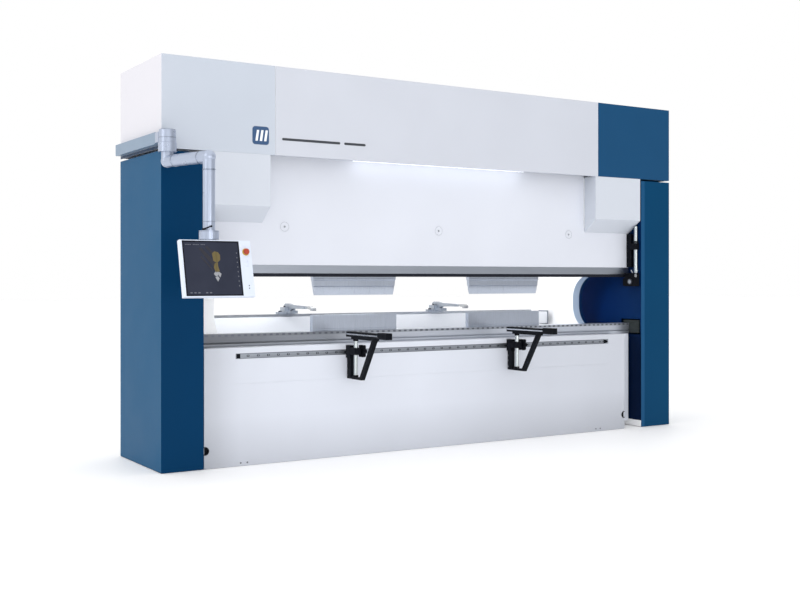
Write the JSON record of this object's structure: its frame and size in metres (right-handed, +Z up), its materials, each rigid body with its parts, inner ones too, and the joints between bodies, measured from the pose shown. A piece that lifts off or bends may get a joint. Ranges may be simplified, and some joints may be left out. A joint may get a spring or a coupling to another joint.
{
  "type": "press brake",
  "caption": "Hydraulic press brake: C-frames, bed and ram with punches and dies, sheet metal covers, swinging operator panel, sheet supports and a rear gauge.",
  "frame": {"origin": "on the floor, half way along the machine, on the front cover's bottom flange", "axes": "+X along the bending line to the operator's right, -Y towards the operator, +Z up"},
  "size_m": [4.922, 2.057, 2.868],
  "materials": {
    "white_paint": "satin powder coat",
    "blue_paint": "satin powder coat, dark blue",
    "machined_steel": "ground and brushed",
    "tool_steel": "hardened and ground",
    "dark_steel": "dark satin coat",
    "black_plastic": "fine textured moulding",
    "chrome_rod": "hard chrome, ground",
    "cylinder_grey": "painted cast iron",
    "tank_grey": "satin paint",
    "motor_paint": "satin paint",
    "manifold_steel": "milled",
    "pendant_silver": "satin metallic coat",
    "screen_glass": "glossy dark screen",
    "stop_red": "moulded red",
    "led_diffuser": "frosted diffuser",
    "gauge_white": "white coated extrusion",
    "finger_metal": "anodised"
  },
  "bodies": {
    "press_frame": {"bed_plate": "white_paint", "c_frame_left": "white_paint", "c_frame_right": "white_paint", "rear_cross_beam": "white_paint", "crowning_bar": "machined_steel", "lower_tool_clamp": "machined_steel", "crowning_motor": "black_plastic", "front_cover": "white_paint", "support_rail": "machined_steel", "cylinder_left": "cylinder_grey", "cylinder_right": "cylinder_grey", "hydraulic_tank": "tank_grey", "pump_motor": "motor_paint", "valve_block": "manifold_steel", "housing_cover_left": "white_paint", "housing_cover_right": "white_paint", "header_cover_left": "white_paint", "header_cover_main": "white_paint", "header_cover_right": "blue_paint", "header_rear_panel": "white_paint", "column_cover_left": "blue_paint", "column_cover_right": "blue_paint", "led_light_bar": "led_diffuser", "die_set_left": "tool_steel", "die_set_right": "tool_steel", "pendant_channel": "pendant_silver", "pendant_bracket": "pendant_silver", "gauge_rail_left": "machined_steel", "gauge_rail_right": "machined_steel"},
    "ram": {"ram_plate": "white_paint", "upper_tool_clamp": "machined_steel", "tool_slot_strip": "dark_steel", "piston_rod_left": "chrome_rod", "piston_rod_right": "chrome_rod", "punch_set_left": "tool_steel", "punch_set_right": "tool_steel", "guard_slide_left": "dark_steel", "guard_slide_right": "dark_steel"},
    "guard_left": {"guard_head_left": "black_plastic"},
    "guard_right": {"guard_head_right": "black_plastic"},
    "cabinet_door": {"cabinet_door": "blue_paint"},
    "pendant_arm": {"pendant_arm": "pendant_silver"},
    "panel_yoke": {"panel_yoke": "pendant_silver"},
    "yoke_lever": {"yoke_lever": "black_plastic"},
    "panel": {"panel_housing": "pendant_silver", "panel_screen": "screen_glass"},
    "estop": {"estop_button": "stop_red"},
    "support_carriage_left": {"support_carriage_left": "dark_steel"},
    "support_carriage_right": {"support_carriage_right": "dark_steel"},
    "support_console_left": {"support_console_left": "dark_steel"},
    "support_console_right": {"support_console_right": "dark_steel"},
    "support_knob_left": {"support_knob_left": "black_plastic"},
    "support_knob_right": {"support_knob_right": "black_plastic"},
    "gauge_carriages": {"gauge_carriage_left": "manifold_steel", "gauge_carriage_right": "manifold_steel"},
    "gauge_beam": {"gauge_beam": "gauge_white"},
    "gauge_finger_left": {"gauge_finger_left": "finger_metal"},
    "gauge_finger_right": {"gauge_finger_right": "finger_metal"},
    "gauge_tip_left": {"gauge_tip_left": "tool_steel"},
    "gauge_tip_right": {"gauge_tip_right": "tool_steel"}
  },
  "joints": [
    {"name": "ram_slide", "type": "slide", "parent": "press_frame", "child": "ram", "axis": [0, 0, -1], "range_m": [0, 0.156]},
    {"name": "guard_left_height", "type": "slide", "parent": "ram", "child": "guard_left", "axis": [0, 0, -1], "range_m": [0, 0.1]},
    {"name": "guard_right_height", "type": "slide", "parent": "ram", "child": "guard_right", "axis": [0, 0, -1], "range_m": [0, 0.1]},
    {"name": "cabinet_door_hinge", "type": "hinge", "parent": "press_frame", "child": "cabinet_door", "pos_m": [2.409, 0.842, 1.11], "axis": [0, 0, -1], "range_deg": [0, 110]},
    {"name": "pendant_swing", "type": "hinge", "parent": "press_frame", "child": "pendant_arm", "pos_m": [-2.398, -0.145, 2.248], "axis": [0, 0, 1], "range_deg": [-80, 45]},
    {"name": "panel_turn", "type": "hinge", "parent": "pendant_arm", "child": "panel_yoke", "pos_m": [-2.27, -0.565, 1.62], "axis": [0, 0, 1], "range_deg": [-50, 50]},
    {"name": "yoke_lever_turn", "type": "hinge", "parent": "panel_yoke", "child": "yoke_lever", "pos_m": [-2.318, -0.59, 1.65], "axis": [0, 0, 1], "range_deg": [-60, 5]},
    {"name": "panel_tilt", "type": "hinge", "parent": "panel_yoke", "child": "panel", "pos_m": [-2.27, -0.59, 1.5], "axis": [1, 0, 0], "range_deg": [-10, 15]},
    {"name": "estop_press", "type": "slide", "parent": "panel", "child": "estop", "axis": [0, 0.9711, -0.2385], "range_m": [0, 0.005], "stiffness_N_per_m": 700, "springref_m": -0.002},
    {"name": "support_left_travel", "type": "slide", "parent": "press_frame", "child": "support_carriage_left", "axis": [1, 0, 0], "range_m": [-0.8, 1.2]},
    {"name": "support_left_height", "type": "slide", "parent": "support_carriage_left", "child": "support_console_left", "axis": [0, 0, 1], "range_m": [-0.045, 0.11]},
    {"name": "support_left_knob_turn", "type": "hinge", "parent": "support_carriage_left", "child": "support_knob_left", "pos_m": [-0.892, -0.17, 0.79], "axis": [1, 0, 0], "continuous": true},
    {"name": "support_right_travel", "type": "slide", "parent": "press_frame", "child": "support_carriage_right", "axis": [1, 0, 0], "range_m": [-1.2, 1]},
    {"name": "support_right_height", "type": "slide", "parent": "support_carriage_right", "child": "support_console_right", "axis": [0, 0, 1], "range_m": [-0.045, 0.11]},
    {"name": "support_right_knob_turn", "type": "hinge", "parent": "support_carriage_right", "child": "support_knob_right", "pos_m": [0.623, -0.17, 0.79], "axis": [1, 0, 0], "continuous": true},
    {"name": "gauge_depth", "type": "slide", "parent": "press_frame", "child": "gauge_carriages", "axis": [0, 1, 0], "range_m": [-0.22, 0.27]},
    {"name": "gauge_height", "type": "slide", "parent": "gauge_carriages", "child": "gauge_beam", "axis": [0, 0, 1], "range_m": [-0.05, 0.1]},
    {"name": "gauge_finger_left_travel", "type": "slide", "parent": "gauge_beam", "child": "gauge_finger_left", "axis": [1, 0, 0], "range_m": [-0.6, 1.2]},
    {"name": "gauge_tip_left_fold", "type": "hinge", "parent": "gauge_finger_left", "child": "gauge_tip_left", "pos_m": [-0.99, 0.5, 1.101], "axis": [-1, 0, 0], "range_deg": [0, 90]},
    {"name": "gauge_finger_right_travel", "type": "slide", "parent": "gauge_beam", "child": "gauge_finger_right", "axis": [1, 0, 0], "range_m": [-1.2, 0.8]},
    {"name": "gauge_tip_right_fold", "type": "hinge", "parent": "gauge_finger_right", "child": "gauge_tip_right", "pos_m": [0.48, 0.5, 1.101], "axis": [-1, 0, 0], "range_deg": [0, 90]}
  ]
}
